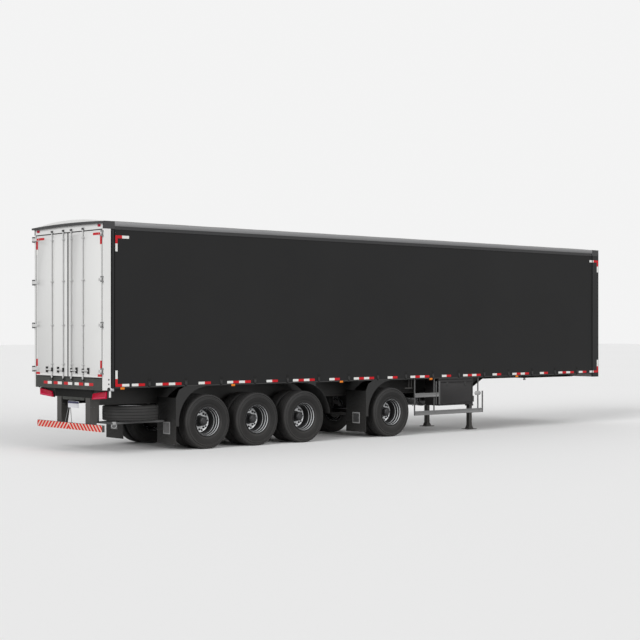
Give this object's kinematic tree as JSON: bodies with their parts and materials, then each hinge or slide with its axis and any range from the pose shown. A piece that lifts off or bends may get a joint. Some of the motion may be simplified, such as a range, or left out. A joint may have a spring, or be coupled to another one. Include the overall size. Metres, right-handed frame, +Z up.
{
  "type": "curtain-side semi trailer",
  "caption": "Curtain-side semi trailer with a tarpaulin roof, rear swing doors, twin-wheel axles, the isolated one steering, and landing legs down.",
  "frame": {"origin": "on the ground, at the middle of the length and of the width", "axes": "+X forward to the kingpin end, +Y to the left, +Z up"},
  "size_m": [14.832, 2.6, 4.5],
  "materials": {
    "underframe_paint": "satin paint",
    "deck_wood": "coated plywood",
    "curtain_fabric": "coated woven fabric",
    "roof_fabric": "coated woven fabric",
    "white_paint": "gloss paint",
    "rail_aluminium": "anodised",
    "cap_paint": "satin paint",
    "post_paint": "satin paint",
    "galvanised": "zinc plated",
    "tyre_rubber": "matt",
    "wheel_paint": "silver paint",
    "black_plastic": "moulded",
    "lamp_red": "moulded lens",
    "guard_paint": "satin paint",
    "box_plastic": "moulded",
    "bumper_paint": "reflective stripes",
    "bare_steel": "machined",
    "bag_rubber": "matt",
    "plate_white": "blank plate"
  },
  "bodies": {
    "root": {"chassis_rails": "underframe_paint", "cross_members": "underframe_paint", "floor": "deck_wood", "side_rails": "underframe_paint", "headboard": "white_paint", "front_posts": "post_paint", "rear_posts": "white_paint", "rear_header": "white_paint", "top_caps": "cap_paint", "rear_sill": "underframe_paint", "roof_rails": "rail_aluminium", "roof_sheet": "roof_fabric", "roof_bows": "galvanised", "side_pillars": "post_paint", "curtain_left": "curtain_fabric", "curtain_right": "curtain_fabric", "door_hinges": "galvanised", "rear_lamps": "lamp_red", "number_plate": "plate_white", "bumper": "bumper_paint", "bumper_supports": "underframe_paint", "spare_tyre": "tyre_rubber", "spare_rim": "wheel_paint", "spare_carrier": "underframe_paint", "axle_beams": "underframe_paint", "hangers": "underframe_paint", "trailing_arms": "underframe_paint", "air_bags": "bag_rubber", "mudguards": "black_plastic", "side_guards": "guard_paint", "tool_box": "box_plastic", "air_tanks": "bare_steel", "landing_gear": "underframe_paint", "coupler_plate": "underframe_paint", "kingpin": "bare_steel", "front_couplings": "bare_steel"},
    "door_left": {"door_left": "white_paint", "lock_gear_left": "galvanised"},
    "door_right": {"door_right": "white_paint", "lock_gear_right": "galvanised"},
    "knuckle_left": {"knuckle_left": "underframe_paint"},
    "knuckle_right": {"knuckle_right": "underframe_paint"},
    "tie_rod": {"tie_rod": "bare_steel"},
    "wheel_1_left": {"tyres_1_left": "tyre_rubber", "rims_1_left": "wheel_paint"},
    "wheel_1_right": {"tyres_1_right": "tyre_rubber", "rims_1_right": "wheel_paint"},
    "wheel_2_left": {"tyres_2_left": "tyre_rubber", "rims_2_left": "wheel_paint"},
    "wheel_2_right": {"tyres_2_right": "tyre_rubber", "rims_2_right": "wheel_paint"},
    "wheel_3_left": {"tyres_3_left": "tyre_rubber", "rims_3_left": "wheel_paint"},
    "wheel_3_right": {"tyres_3_right": "tyre_rubber", "rims_3_right": "wheel_paint"},
    "wheel_4_left": {"tyres_4_left": "tyre_rubber", "rims_4_left": "wheel_paint"},
    "wheel_4_right": {"tyres_4_right": "tyre_rubber", "rims_4_right": "wheel_paint"}
  },
  "joints": [
    {"name": "wheel_1_left_spin", "type": "hinge", "parent": "root", "child": "wheel_1_left", "pos_m": [-4.914, 0.96, 0.545], "axis": [0, 1, 0], "continuous": true},
    {"name": "wheel_1_right_spin", "type": "hinge", "parent": "root", "child": "wheel_1_right", "pos_m": [-4.914, -0.96, 0.545], "axis": [0, 1, 0], "continuous": true},
    {"name": "wheel_2_left_spin", "type": "hinge", "parent": "root", "child": "wheel_2_left", "pos_m": [-3.664, 0.96, 0.545], "axis": [0, 1, 0], "continuous": true},
    {"name": "wheel_2_right_spin", "type": "hinge", "parent": "root", "child": "wheel_2_right", "pos_m": [-3.664, -0.96, 0.545], "axis": [0, 1, 0], "continuous": true},
    {"name": "wheel_3_left_spin", "type": "hinge", "parent": "root", "child": "wheel_3_left", "pos_m": [-2.414, 0.96, 0.545], "axis": [0, 1, 0], "continuous": true},
    {"name": "wheel_3_right_spin", "type": "hinge", "parent": "root", "child": "wheel_3_right", "pos_m": [-2.414, -0.96, 0.545], "axis": [0, 1, 0], "continuous": true},
    {"name": "wheel_4_left_spin", "type": "hinge", "parent": "knuckle_left", "child": "wheel_4_left", "pos_m": [0.129, 0.96, 0.545], "axis": [0, 1, 0], "continuous": true},
    {"name": "wheel_4_right_spin", "type": "hinge", "parent": "knuckle_right", "child": "wheel_4_right", "pos_m": [0.129, -0.96, 0.545], "axis": [0, 1, 0], "continuous": true},
    {"name": "steer_left", "type": "hinge", "parent": "root", "child": "knuckle_left", "pos_m": [0.129, 0.55, 0.545], "axis": [0, 0, 1], "range_deg": [-12, 12]},
    {"name": "steer_right", "type": "hinge", "parent": "root", "child": "knuckle_right", "pos_m": [0.129, -0.55, 0.545], "axis": [0, 0, 1], "range_deg": [-12, 12]},
    {"name": "tie_rod_pivot", "type": "hinge", "parent": "knuckle_left", "child": "tie_rod", "pos_m": [-0.071, 0.55, 0.545], "axis": [0, 0, 1], "range_deg": [-12, 12]},
    {"name": "door_left_swing", "type": "hinge", "parent": "root", "child": "door_left", "pos_m": [-7.406, 1.284, 2.9], "axis": [0, 0, -1], "range_deg": [0, 270]},
    {"name": "door_right_swing", "type": "hinge", "parent": "root", "child": "door_right", "pos_m": [-7.406, -1.284, 2.9], "axis": [0, 0, 1], "range_deg": [0, 270]}
  ],
  "couplings": [
    {"joint": "steer_right", "follows": "steer_left", "ratio": 1},
    {"joint": "tie_rod_pivot", "follows": "steer_left", "ratio": -1}
  ]
}
